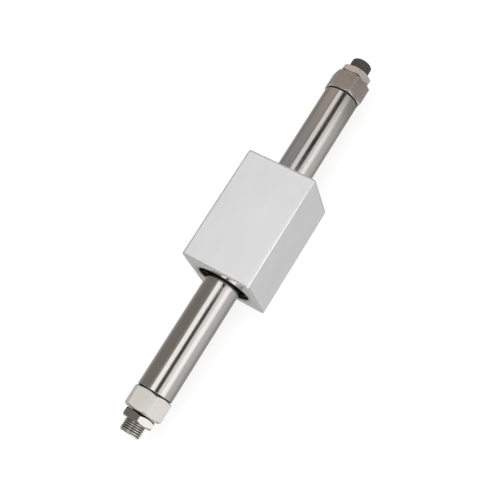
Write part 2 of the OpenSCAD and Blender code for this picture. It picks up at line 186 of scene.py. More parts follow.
# The room's own light goes by a direction's angle about the tube, atan2(z, y), read from a ramp,
# and by its share of X
def makeRoom():
    world = bpy.data.worlds.new("room")
    bpy.context.scene.world = world
    world.use_nodes = True
    tree = world.node_tree
    tree.nodes.clear()
    coords = addNode(tree, "ShaderNodeTexCoord")
    split = addNode(tree, "ShaderNodeSeparateXYZ")
    angle = addNode(tree, "ShaderNodeMath", operation="ARCTAN2")
    turn = addNode(tree, "ShaderNodeMapRange", {"From Min": -math.pi, "From Max": math.pi})
    back = addNode(tree, "ShaderNodeBackground")
    out = addNode(tree, "ShaderNodeOutputWorld")
    tree.links.new(coords.outputs["Generated"], split.inputs[0])
    tree.links.new(split.outputs["Z"], angle.inputs[0])
    tree.links.new(split.outputs["Y"], angle.inputs[1])
    tree.links.new(angle.outputs[0], turn.inputs["Value"])
    colour = roomRamp(tree, turn.outputs["Result"], room["near"]["stops"])
    for name in ("middle", "far", "along", "behind"):
        row = room[name]
        amount = ranged(tree, split.outputs["X"], 0, row["share"], row["start"], row["full"])
        cover = roomRamp(tree, turn.outputs["Result"], row["stops"])
        colour = blended(tree, amount, colour, cover)
    tree.links.new(colour, back.inputs["Color"])
    tree.links.new(back.outputs[0], out.inputs[0])


# Plain stuff that gives its own even light besides what it scatters
def paleGlow(piece, name, albedo, glow):
    mat = bpy.data.materials.new(name)
    mat.use_nodes = True
    base = mat.node_tree.nodes["Principled BSDF"]
    base.inputs["Base Color"].default_value = (albedo,) * 3 + (1,)
    base.inputs["Roughness"].default_value = floorLook["rough"]
    base.inputs["Specular IOR Level"].default_value = 0.0
    base.inputs["Emission Color"].default_value = (1, 1, 1, 1)
    base.inputs["Emission Strength"].default_value = glow
    piece.data.materials.append(mat)


# Floor: a disc whose points lie at radius times (cos a, sin a). Backdrop: a sphere, its points at
# radius times (cos lat cos a, cos lat sin a, sin lat); only the camera sees it.
def makeStage(level):
    look = floorLook
    a = np.linspace(0, 2 * np.pi, look["around"] + 1)[:-1]
    rings = np.array(look["rings"]) * look["radius"]
    co = np.stack([np.outer(rings, np.cos(a)), np.outer(rings, np.sin(a)),
                   np.full((len(rings), len(a)), level)], axis=2)
    floor = gridObject("floor", co, closedPath=False, capStart=True)
    paleGlow(floor, "floorPale", look["albedo"], look["glow"])
    lat = np.linspace(-look["topAngle"], look["topAngle"], look["bands"])
    co = np.stack([np.outer(np.cos(lat), np.cos(a)), np.outer(np.cos(lat), np.sin(a)),
                   np.outer(np.sin(lat), np.ones(len(a)))], axis=2) * look["backdrop"]
    backdrop = gridObject("backdrop", co, closedPath=False, capStart=True, capEnd=True)
    paleGlow(backdrop, "backdropPale", 0, look["backdropGlow"])
    for seen in ("diffuse", "glossy", "transmission", "volume_scatter", "shadow"):
        setattr(backdrop, "visible_" + seen, False)
    floor.visible_glossy = False


# Joins a grid of points, path stations down and points around across, with quads. The grid
# always closes around; closedPath also joins its last station to its first.
def gridFaces(rows, around, closedPath):
    last = rows if closedPath else rows - 1
    k, m = np.meshgrid(np.arange(last), np.arange(around), indexing="ij")
    k2, m2 = (k + 1) % rows, (m + 1) % around
    return np.stack([k * around + m, k * around + m2, k2 * around + m2, k2 * around + m],
                    axis=2).reshape(-1, 4)


# Signed volume of the quads: the sum of each face's centre times its area normal, over three
def signedVolume(points, quads):
    a, b, c, d = (points[quads[:, i]] for i in range(4))
    normal = np.cross(c - a, d - b) / 2
    return float(np.einsum("ij,ij->", (a + b + c + d) / 4, normal) / 3)


# A smooth mesh at the origin, with one number a point for each named layer
def meshObject(name, points, faces, layers=None):
    mesh = bpy.data.meshes.new(name)
    mesh.from_pydata(points.tolist(), [], faces)
    mesh.polygons.foreach_set("use_smooth", np.ones(len(mesh.polygons), bool))
    for key, values in (layers or {}).items():
        attribute = mesh.attributes.new(key, "FLOAT", "POINT")
        attribute.data.foreach_set("value", values.astype(np.float32).ravel())
    mesh.update()
    piece = bpy.data.objects.new(name, mesh)
    bpy.context.scene.collection.objects.link(piece)
    return piece


# A grid of points as an object. A closed one whose volume comes out negative is turned outwards.
def gridObject(name, co, closedPath=True, capStart=False, capEnd=False, layers=None):
    rows, around = co.shape[:2]
    points = co.reshape(-1, 3)
    quads = gridFaces(rows, around, closedPath)
    if closedPath and signedVolume(points, quads) < 0:
        quads = quads[:, ::-1]
    faces = quads.tolist()
    if capStart:
        faces.append(list(range(around))[::-1])
    if capEnd:
        faces.append(list(range((rows - 1) * around, rows * around)))
    return meshObject(name, points, faces, layers)


ridgeFoot = 0.7                          # wear where a side meets its ridge


# Regular polygon with rounded corners: the polar angle, radius and wear of each point. A corner is
# an arc of its own radius. Stations on a side are its marks, or crowd to its ends by half a cosine.
def roundedPolygon(sides, flatR, cornerR, turn, perSide, perCorner, marks=None):
    half = math.pi / sides
    reach = (flatR - cornerR) * math.tan(half)
    s = (1 - np.cos(np.linspace(0, np.pi, perSide))) / 2 * 2 - 1 if marks is None else marks
    s = s * reach
    side = np.stack([np.full(len(s), flatR), s], axis=1)
    arc = np.linspace(-half, half, perCorner + 2)[1:-1]
    centre = np.array([flatR - cornerR, reach])
    first = np.stack([np.cos(arc + half), np.sin(arc + half)], axis=1) * cornerR + centre
    one = np.concatenate([side, first])
    angle = np.arctan2(one[:, 1], one[:, 0])
    radius = np.hypot(one[:, 0], one[:, 1])
    steps = np.arange(sides)[:, None] * 2 * half + math.radians(turn) + half
    ridge = np.concatenate([np.zeros(len(s)), np.ones(perCorner)])
    ridge[[0, len(s) - 1]] = ridgeFoot
    return (angle + steps).ravel(), np.tile(radius, sides), np.tile(ridge, sides)


softShare = {"cut": 0.42, "hold": 0.06}  # most that a cut and a held station take of a side


# A path through corners given as (x, r), each softened by a quadratic curve from a cut before it
# to a cut after it: (1-t)^2 A + 2t(1-t) P + t^2 B. Every corner is held by a close extra station.
def softPath(corners, around, cuts, steps=3, hold=0.04):
    pts = np.stack([np.stack([np.broadcast_to(c[0], around), np.broadcast_to(c[1], around)], axis=1)
                    for c in corners])
    rows, edge = [pts[0]], [np.zeros(around)]
    for i in range(1, len(pts) - 1):
        before, after = pts[i - 1] - pts[i], pts[i + 1] - pts[i]
        lenB = np.linalg.norm(before, axis=1)[:, None]
        lenA = np.linalg.norm(after, axis=1)[:, None]
        cut = cuts[i] if isinstance(cuts, (list, tuple)) else cuts
        cutB, cutA = cut if isinstance(cut, tuple) else (cut, cut)
        cutB = np.minimum(np.broadcast_to(cutB, around)[:, None], softShare["cut"] * lenB)
        cutA = np.minimum(np.broadcast_to(cutA, around)[:, None], softShare["cut"] * lenA)
        a, b = pts[i] + before / lenB * cutB, pts[i] + after / lenA * cutA
        holdB = np.minimum(hold, softShare["hold"] * lenB)
        holdA = np.minimum(hold, softShare["hold"] * lenA)
        rows.append(a + before / lenB * holdB)
        edge.append(np.zeros(around))
        for t in np.linspace(0, 1, steps + 1):
            rows.append((1 - t) ** 2 * a + 2 * t * (1 - t) * pts[i] + t ** 2 * b)
            edge.append(np.full(around, 1.0))
        rows.append(b + after / lenA * holdA)
        edge.append(np.zeros(around))
    rows.append(pts[-1])
    edge.append(np.zeros(around))
    return np.stack(rows), np.stack(edge)


thread = {"crest": 0.13, "flank": 0.25}  # half a crest and a whole flank, as shares of the pitch


# Right-handed screw thread: the height depends on x / pitch - angle / turn. It rises from the
# root to the crest and back along soft flanks, 1 - t^2 (3 - 2t), with flats between.
def threadHeight(x, angle, pitch):
    phase = (x / pitch - angle / (2 * np.pi)) % 1.0
    ramp = np.clip((np.abs(phase - 0.5) - thread["crest"]) / thread["flank"], 0, 1)
    return 1 - ramp * ramp * (3 - 2 * ramp)


# Turns rows of (x, r) into points: x along the axis, r times the cosine and sine of the angle
def spun(rows, angle):
    return np.stack([rows[..., 0], rows[..., 1] * np.cos(angle), rows[..., 1] * np.sin(angle)],
                    axis=2) * mm


tubeLook = {
    "around": 256, "edge": 0.08,                            # softness of the edges
    "wall": 1.0, "bevel": 0.3,
    "rim": {"rear": 0.14, "front": 0.45}, "rimSoft": 0.1,   # painted shade on the tube's rim beside each cover
    "stations": {"rear": (0.5,), "front": (0.7, 0.5, 0.4)},
}
sliver = 0.001                                              # where a ring closes on its start
tubeLow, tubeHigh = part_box("cylinder_tube")
tubeEnd = tubeHigh.x / mm
tubeR = -tubeLow.y / mm


# Tube: one closed ring profile, outer wall, end faces and bore, turned about the axis
def makeTube():
    look = tubeLook
    n = look["around"]
    angle = np.linspace(0, 2 * np.pi, n + 1)[:-1]
    inner = tubeR - look["wall"]
    e, bevel = tubeEnd, look["bevel"]
    outer = [(x, tubeR) for x in (*(s - e for s in look["stations"]["rear"]), -e / 2, 0, e / 2,
                                  *(e - s for s in look["stations"]["front"]))]
    corners = [(0.0, inner), (-e + bevel, inner), (-e, inner + bevel), (-e, tubeR), *outer,
               (e, tubeR), (e, inner + bevel), (e - bevel, inner), (sliver, inner)]
    rows, edge = softPath(corners, n, look["edge"])
    x, rim = rows[..., 0], look["rim"]
    rim = np.where(x > 0, rim["front"], rim["rear"])
    # painted shade: the tube darkens over its last rim width beside each cover, for the shadow in
    # the seam
    dirtAndShade = np.clip((np.abs(x) - e + rim) / look["rimSoft"], 0, 1)
    piece = gridObject("tube", spun(rows, angle), layers={"wear": edge, "dirtAndShade": dirtAndShade})
    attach(piece, "cylinder")
    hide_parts("cylinder_tube")
    return piece


coverLook = {
    "across": 17.0, "length": 10.0,                         # hexagon
    "latheCut": 0.5, "tubeSideCut": 0.12,                   # how far its corners are turned down
    "turn": {"rear": 0, "front": 0},
    "neckLength": 0.5, "neckDepth": 0.6,
    "ridge": 0.22, "edge": 0.14, "mouthEdge": 0.08,         # softness of ridges and edges
    "sidePoints": 17, "cornerPoints": 7,                    # stations on a side and on a ridge
    "seamShadeReach": 0.6, "seamShadeFade": 0.2,                           # how far painted shade reaches out of the seam
    "shadeLevel": {"rear": 0.05, "front": 0.98},                   # darkening of the nose's thread, painted shade over all of it at the front end
    "rootShadeStop": 0.7, "tipFade": 0.3,                        # the root darkening stops short of the tip
    "noseR": 5.0, "noseLength": 10.0, "pitch": 1.0, "rootR": 4.39, "tipCut": 0.6,
    "reliefR": 4.4, "reliefLength": 0.3, "threadStart": 0.5, "threadRows": 120,
    "portR": 2.1, "portRoot": 2.5, "portPitch": 0.8, "portDepth": 7.0, "portCut": 0.4,
    "portEnd": 0.8, "portRows": 90, "passageR": 1.5, "drillAngle": 31,
    "spigotPlay": 0.02, "gasketAt": 2.6, "gasketHalf": 0.84, "gasketDepth": 1.2,
}
nutLook = {
    "across": 14.0, "latheCut": 0.5, "turn": {"rear": 52, "front": 57},
    "ridge": 0.2, "edge": 0.12, "play": 0.03, "mouth": 0.2, "threadRows": 56,
    "sidePoints": 15, "cornerPoints": 7,
}
tan30 = math.tan(math.radians(30))


# Radius of the nose's thread: root + (crest - root) times the thread's height
def noseRadius(x, angle):
    look = coverLook
    rise = threadHeight(x, angle, look["pitch"])
    return look["rootR"] + (look["noseR"] - look["rootR"]) * rise


# Head cover as one closed grid: air port and passage inside, threaded nose, hexagon turned down
# at its corners, neck and spigot. The hexagon's edge with the lathe cut runs at x = r times tan 30.
def makeCover(end):
    look = coverLook
    side = 1 if end == "front" else -1
    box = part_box(end + "_head_cover")
    tip = max(abs(box[0].x), abs(box[1].x)) / mm
    spigotIn = min(abs(box[0].x), abs(box[1].x)) / mm
    hexOut = tip - look["noseLength"]
    hexIn = hexOut - look["length"]
    flat = look["across"] / 2
    angle, hexR, ridge = roundedPolygon(6, flat, look["ridge"], look["turn"][end],
                                        look["sidePoints"], look["cornerPoints"])
    n = len(angle)
    latheR = flat - look["latheCut"]
    innerR = flat - look["tubeSideCut"]
    slope, innerSlope = (hexR - latheR) * tan30, (hexR - innerR) * tan30

    # nose thread from the relief groove to the tip
    x = np.linspace(hexOut + look["reliefLength"], tip - sliver, look["threadRows"])[:, None]
    fade = np.clip((x - x[0]) / look["threadStart"], 0, 1)
    r = look["reliefR"] + (noseRadius(side * x, angle) - look["reliefR"]) * fade
    r = np.minimum(r, look["noseR"] - look["tipCut"] + (tip - x))
    nose = np.stack([np.broadcast_to(x, r.shape), r], axis=2)
    # the thread darkens into its roots, stopping a short way from the tip; the front end's level is
    # painted shade over the whole thread
    noseShade = np.clip((look["noseR"] - r) / (look["noseR"] - look["rootR"]), 0, 1)
    shadeLevel = look["shadeLevel"][end] * (0.75 + 0.25 * noseShade)       # a quarter of it only in the root
    inward = np.clip((tip - look["rootShadeStop"] - x) / look["tipFade"], 0, 1)
    noseShade = np.maximum(noseShade * inward, shadeLevel)

    # port thread from its mouth down to the drill point
    bottom = tip - look["portDepth"]
    y = np.linspace(tip - look["portCut"], bottom, look["portRows"])[:, None]
    rise = threadHeight(side * y, angle, look["portPitch"])
    grow = np.clip((y - bottom) / look["portEnd"], 0, 1)
    r = look["portR"] + (look["portRoot"] - look["portR"]) * rise * grow
    port = np.stack([np.broadcast_to(y, r.shape), r], axis=2)
    # painted shade in the port thread's roots
    portShade = rise * grow

    mouth, mouthEdge = softPath([
        (tip, look["noseR"] - look["tipCut"]), (tip, look["portRoot"] + 0.05),
        (tip - look["portCut"] + 0.01, look["portR"] + 0.02)], n, look["mouthEdge"])

    # drill point, passage, spigot with its gasket's groove, neck, hexagon and relief groove
    drill = (look["portR"] - look["passageR"]) * math.tan(math.radians(look["drillAngle"]))
    neck, neckR = hexIn - look["neckLength"], tubeR - look["neckDepth"]
    boreR = tubeR - tubeLook["wall"]
    spigotR = boreR - look["spigotPlay"]
    grooveR = boreR - look["gasketDepth"]
    groove = neck - look["gasketAt"]
    grooveIn, grooveOut = groove - look["gasketHalf"], groove + look["gasketHalf"]
    inside, insideEdge = softPath([
        (bottom - sliver, look["portR"]), (bottom - drill, look["passageR"]),
        (spigotIn, look["passageR"]), (spigotIn, spigotR), (grooveIn, spigotR),
        (grooveIn, grooveR), (grooveOut, grooveR), (grooveOut, spigotR), (neck, spigotR),
        (neck, neckR), (hexIn, neckR), (hexIn, innerR), (hexIn + innerSlope, hexR),
        (hexOut - slope, hexR), (hexOut, latheR), (hexOut, look["reliefR"]),
        (hexOut + look["reliefLength"] - sliver, look["reliefR"])], n, look["edge"])

    # ridges of the hexagon wear, seams get painted shade, threads are bare and chamfers freshly cut
    rows = np.concatenate([nose, mouth, port, inside])
    edge = np.concatenate([np.zeros(nose.shape[:2]), mouthEdge, np.zeros(port.shape[:2]),
                           insideEdge])
    x, r = rows[..., 0], rows[..., 1]
    onHex = (np.abs(r - hexR) < 0.02) & (x > hexIn) & (x < hexOut)
    edge = np.maximum(edge, onHex * ridge)
    x, r = inside[..., 0], inside[..., 1]
    # painted shade in the seam by the tube and in the gap by the nut
    seamShade = np.clip((innerR + look["seamShadeReach"] - r) / look["seamShadeFade"], 0, 1) * (x < hexIn + 0.06)
    seamShade = np.maximum(seamShade, (r < latheR - 0.1) & (x > hexOut - 0.1))
    dirtAndShade = np.concatenate([noseShade, np.zeros(mouth.shape[:2]), portShade, seamShade])
    bare = np.concatenate([np.ones(nose.shape[:2]), np.ones(mouth.shape[:2]),
                           np.ones(port.shape[:2]), np.zeros(inside.shape[:2])])
    cut = ((x > hexIn - 0.01) & (x < hexIn + innerSlope + 0.02)) | (
        (x < hexOut + 0.01) & (x > hexOut - slope - 0.02))
    cut = np.concatenate([np.zeros((len(rows) - len(x), n)), cut & (r > latheR - 0.01)])
    rows = rows * np.array([side, 1])
    layers = {"wear": edge, "dirtAndShade": dirtAndShade, "bare": bare, "cut": cut}
    piece = gridObject(end + "Cover", spun(rows, angle), layers=layers)
    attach(piece, "cylinder")
    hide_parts(end + "_head_cover")
    return piece


# Nut as one closed grid: threaded bore that fits the nose, both faces and the hexagon
def makeNut(end):
    look = nutLook
    side = 1 if end == "front" else -1
    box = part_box(end + "_mounting_nut")
    inFace = min(abs(box[0].x), abs(box[1].x)) / mm
    outFace = max(abs(box[0].x), abs(box[1].x)) / mm
    flat = look["across"] / 2
    angle, hexR, ridge = roundedPolygon(6, flat, look["ridge"], look["turn"][end],
                                        look["sidePoints"], look["cornerPoints"])
    n = len(angle)
    latheR = flat - look["latheCut"]
    slope = (hexR - latheR) * tan30
    mouthR = coverLook["noseR"] + look["mouth"]
    x = np.linspace(outFace - sliver, inFace + sliver, look["threadRows"])[:, None]
    r = noseRadius(side * x, angle) + look["play"]
    depth = np.minimum(x - inFace, outFace - x)
    r = np.maximum(r, mouthR - look["play"] - depth)
    bore = np.stack([np.broadcast_to(x, r.shape), r], axis=2)
    shell, edge = softPath([
        (inFace, mouthR), (inFace, latheR), (inFace + slope, hexR),
        (outFace - slope, hexR), (outFace, latheR), (outFace, mouthR)], n, look["edge"])
    rows = np.concatenate([bore, shell])
    edge = np.concatenate([np.zeros(bore.shape[:2]), edge])
    onHex = np.abs(rows[..., 1] - hexR) < 0.02
    edge = np.maximum(edge, onHex * ridge)
    # painted shade all through the threaded bore
    dirtAndShade = np.concatenate([np.ones(bore.shape[:2]), np.zeros(shell.shape[:2])])
    rows = rows * np.array([side, 1])
    piece = gridObject(end + "Nut", spun(rows, angle), layers={"wear": edge, "dirtAndShade": dirtAndShade})
    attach(piece, "cylinder")
    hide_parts(end + "_mounting_nut")
    return piece


sliderLook = {
    "edge": 0.88, "boreEdge": 0.05,     # softness of the block's edges and of the bore's
    "boreR": 13.0, "boreCut": 0.3, "grooveDepth": 0.7, "grooveOut": 1.28, "grooveIn": 2.5,
    "shadeRing": 2.6, "shadeLevel": 0.64,        # reach and strength of the painted shade round the bore's mouth
    "holeX": 35.0, "holeY": 19.0, "holeR": 1.65, "holeRoot": 2.0, "holePitch": 0.7,
    "holeDepth": 6.14, "holeCut": 0.4, "holeRows": 72, "holeEnd": 0.9, "holePoint": 0.6,
    "block": 2.9, "cells": 8,           # half width of the grid round a hole, and its cells
    "wallX": (-9, -3, 3, 9),            # stations between the holes, along
    "wallY": (-4, 0, 4),                # and across
    "hold": 0.985,                      # stations that hold the flats, as a share of their reach
    "boreGrime": 0.9, "holeGrime": 1.5, # how far painted shade reaches off the bore and into a hole
}


# Threaded hole up into the underside: rings from the square of grid points round it to the
# mouth's circle, then down the thread, r = minor + (major - minor) times the thread's height
def holeRings(square, centre, floorZ):
    look = sliderLook
    angle = np.arctan2(square[:, 1] - centre[1], square[:, 0] - centre[0])
    mouth = look["holeR"] + look["holeCut"]
    z = np.linspace(look["holeCut"], look["holeDepth"] - 0.05, look["holeRows"])[:, None]
    rise = threadHeight(z, -angle, look["holePitch"])
    rise = rise * np.clip((look["holeDepth"] - z) / look["holeEnd"], 0, 1)
    r = look["holeR"] + (look["holeRoot"] - look["holeR"]) * rise
    r = np.minimum(r, mouth)
    top = np.array([[mouth + 0.09, 0.0], [mouth + 0.05, 0.0], [mouth, 0.03],
                    [look["holeR"] + 0.05, look["holeCut"] - 0.02]])
    tip = np.array([[look["holeR"], look["holeDepth"]],
                    [0.05, look["holeDepth"] + look["holeR"] * look["holePoint"]]])
    ones = np.ones(len(angle))
    radius = np.concatenate([top[:, :1] * ones, r, tip[:, :1] * ones])
    depth = np.concatenate([top[:, 1:] * ones, z * ones, tip[:, 1:] * ones])
    return np.stack([centre[0] + radius * np.cos(angle), centre[1] + radius * np.sin(angle),
                     floorZ + depth], axis=2)


# Slider block as one closed grid: a bore with its clip grooves inside, and outside a square whose
# radius at each angle is that of the rounded outline. Four squares of the grid become holes.
def makeSlider():
    look = sliderLook
    low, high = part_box("slider_body")
    low, high = np.array(low) / mm, np.array(high) / mm
    middle = (low[0] + high[0]) / 2
    half = (high[0] - low[0]) / 2
    flat = (high[1] - low[1]) / 2
    e = look["edge"]
    reach = flat - e
    blockY = look["holeY"] / 2 + np.linspace(-1, 1, look["cells"] + 1) * look["block"]
    marks = np.concatenate([-blockY[::-1], look["wallY"], blockY]) / reach
    marks = np.concatenate([[-1, -look["hold"]], marks, [look["hold"], 1]])
    marks = np.unique(np.round(marks, 9))
    angle, outR, ridge = roundedPolygon(4, flat, e, -135, 0, 7, marks)
    n = len(angle)
    tilt = outR / flat                       # 1 over the cosine between radius and face normal
    blockX = look["holeX"] / 2 + np.linspace(-1, 1, look["cells"] + 1) * look["block"]
    wallX = np.concatenate([-blockX[::-1], look["wallX"], blockX])
    boreR, cut = look["boreR"], look["boreCut"]
    grooveOut, grooveIn = half - look["grooveOut"], half - look["grooveIn"]
    grooveR = boreR + look["grooveDepth"]
    corners = [(0.0, boreR), (grooveIn, boreR), (grooveIn, grooveR), (grooveOut, grooveR),
               (grooveOut, boreR), (half - cut, boreR), (half, boreR + cut),
               (half, boreR + look["shadeRing"]), (half, outR), (0.0, outR)]
    cuts = [look["boreEdge"]] * 8 + [(e * tilt, e), look["boreEdge"]]
    first, edge1 = softPath(corners, n, cuts, steps=4)
    first, edge1 = first[:-1], edge1[:-1]
    wall = np.stack([np.broadcast_to(wallX[::-1, None], (len(wallX), n)),
                     np.broadcast_to(outR, (len(wallX), n))], axis=2)
    second, edge2 = first[::-1] * np.array([-1, 1]), edge1[::-1]
    rows = np.concatenate([first, wall, second[:-1]])
    edge = np.concatenate([edge1, np.zeros(wall.shape[:2]), edge2[:-1]])
    edge = np.maximum(edge, (np.abs(rows[..., 1] - outR) < 0.01) * ridge)

    # painted shade in the bore and fading round its mouth, and bare metal on both ends
    x, r = np.abs(rows[..., 0]), rows[..., 1]
    onEnd = x > half - cut - 0.02
    mouthShade = np.clip((boreR + look["shadeRing"] - r) / (look["shadeRing"] - cut), 0, 1) * look["shadeLevel"]
    dirtAndShade = np.maximum((r < boreR + look["boreGrime"]) & ~onEnd, mouthShade * onEnd)
    bare = onEnd & (r < outR - e * tilt + 0.01)
    co = spun(rows + np.array([middle, 0]), angle)
    k, points = len(rows), co.reshape(-1, 3)
    quads = gridFaces(k, n, True)
    if signedVolume(points, quads) < 0:
        quads = quads[:, ::-1]

    # cut the four squares out of the underside and line them with their holes
    xs = rows[:, 0, 0] + middle
    ys, zs = co[len(first), :, 1] / mm, co[len(first), :, 2] / mm
    centreQ = points[quads].mean(axis=1) / mm
    keep = np.ones(len(quads), bool)
    wallRows = np.arange(len(first), len(first) + len(wallX))
    under = np.where(zs < low[2] + 1e-4)[0]
    parts = [points]
    layers = {"wear": [edge.ravel()], "dirtAndShade": [dirtAndShade.ravel()], "bare": [bare.ravel()]}
    start, extra = len(points), []
    for hx in (-1, 1):
        for hy in (-1, 1):
            cx, cy = middle + hx * look["holeX"] / 2, hy * look["holeY"] / 2
            inside = (np.abs(centreQ[:, 0] - cx) < look["block"]) & (
                np.abs(centreQ[:, 1] - cy) < look["block"]) & (centreQ[:, 2] < low[2] + 0.01)
            keep &= ~inside
            gx = wallRows[np.abs(xs[wallRows] - cx) < look["block"] + 1e-3]
            gy = under[np.abs(ys[under] - cy) < look["block"] + 1e-3]
            gx, gy = gx[np.argsort(xs[gx])], gy[np.argsort(ys[gy])]
            loop = np.concatenate([gx[:-1] * n + gy[0], gx[-1] * n + gy[:-1],
                                   gx[:0:-1] * n + gy[-1], gx[0] * n + gy[:0:-1]])
            square = points[loop] / mm
            rings = holeRings(square, (cx, cy), low[2])
            count, m = rings.shape[:2]
            ids = np.concatenate([loop[None], start + np.arange(count * m).reshape(count, m)])
            a, b = ids[:-1], ids[1:]
            ring = np.stack([a, b, np.roll(b, -1, 1), np.roll(a, -1, 1)], axis=2).reshape(-1, 4)
            tipId = start + count * m
            fan = [[int(p), tipId, int(q)] for p, q in zip(ids[-1], np.roll(ids[-1], -1))]
            extra += ring.tolist() + fan
            tip = np.array([[cx, cy, rings[-1, 0, 2] + 0.02]])
            parts.append(np.concatenate([rings.reshape(-1, 3), tip]) * mm)
            # painted shade, darker deeper into each hole
            depth = np.clip((rings[..., 2] - low[2]) / look["holeGrime"], 0, 1).ravel()
            layers["dirtAndShade"].append(np.append(depth, 1))
            layers["wear"].append(np.zeros(count * m + 1))
            layers["bare"].append(np.zeros(count * m + 1))
            start += count * m + 1
    piece = meshObject("sliderBody", np.concatenate(parts), quads[keep].tolist() + extra,
                       {key: np.concatenate(values) for key, values in layers.items()})
    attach(piece, "slider")
    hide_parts("slider_body")
    return piece


# A shader node with its properties and its sockets' values set
def addNode(tree, kind, values=None, **props):
    node = tree.nodes.new(kind)
    for key, value in props.items():
        setattr(node, key, value)
    for key, value in (values or {}).items():
        node.inputs[key].default_value = value
    return node


# Object coordinates in metres, stretched, into a noise whose grains are size millimetres
def grain(tree, size, stretch, detail, offset=0.0):
    coords = addNode(tree, "ShaderNodeTexCoord")
    place = addNode(tree, "ShaderNodeMapping")
    place.inputs["Scale"].default_value = stretch
    place.inputs["Location"].default_value = (offset,) * 3
    noise = addNode(tree, "ShaderNodeTexNoise", {"Scale": 1 / (size * mm), "Detail": detail})
    tree.links.new(coords.outputs["Object"], place.inputs[0])
    tree.links.new(place.outputs[0], noise.inputs["Vector"])
    return noise.outputs["Fac"]


# Maps fromLow to low and fromHigh to high in a straight line, and stops at both
def ranged(tree, source, low, high, fromLow, fromHigh):
    node = addNode(tree, "ShaderNodeMapRange", {"From Min": fromLow, "From Max": fromHigh,
                                                "To Min": low, "To Max": high})
    tree.links.new(source, node.inputs["Value"])
    return node.outputs["Result"]


# Colour (1 - factor) times a + factor times b, where a and b are colours or sockets
def blended(tree, factor, a, b):
    node = addNode(tree, "ShaderNodeMix", data_type="RGBA")
    for key, value in (("A", a), ("B", b)):
        if isinstance(value, tuple):
            node.inputs[key].default_value = (*value, 1)
        else:
            tree.links.new(value, node.inputs[key])
    tree.links.new(factor, node.inputs["Factor"])
    return node.outputs["Result"]


# a + weight times b
def summed(tree, a, b, weight):
    node = addNode(tree, "ShaderNodeMath", operation="MULTIPLY_ADD")
    tree.links.new(b, node.inputs[0])
    node.inputs[1].default_value = weight
    tree.links.new(a, node.inputs[2])
    return node.outputs[0]


# The number that a surface carries at each point under this name, 0 to 1
def layer(tree, name):
    return addNode(tree, "ShaderNodeAttribute", attribute_name=name).outputs["Fac"]


# A new material on the principled shader, with its metal and specular set
def newFinish(name, metallic, specular=0.5):
    mat = bpy.data.materials.new(name)
    mat.use_nodes = True
    tree = mat.node_tree
    base = tree.nodes["Principled BSDF"]
    base.inputs["Metallic"].default_value = metallic
    base.inputs["Specular IOR Level"].default_value = specular
    return mat, tree, base


# Bump at full strength: the surface rises by height times distance millimetres
def bumped(tree, base, height, distance):
    node = addNode(tree, "ShaderNodeBump", {"Strength": 1.0, "Distance": distance * mm})
    tree.links.new(height, node.inputs["Height"])
    tree.links.new(node.outputs[0], base.inputs["Normal"])


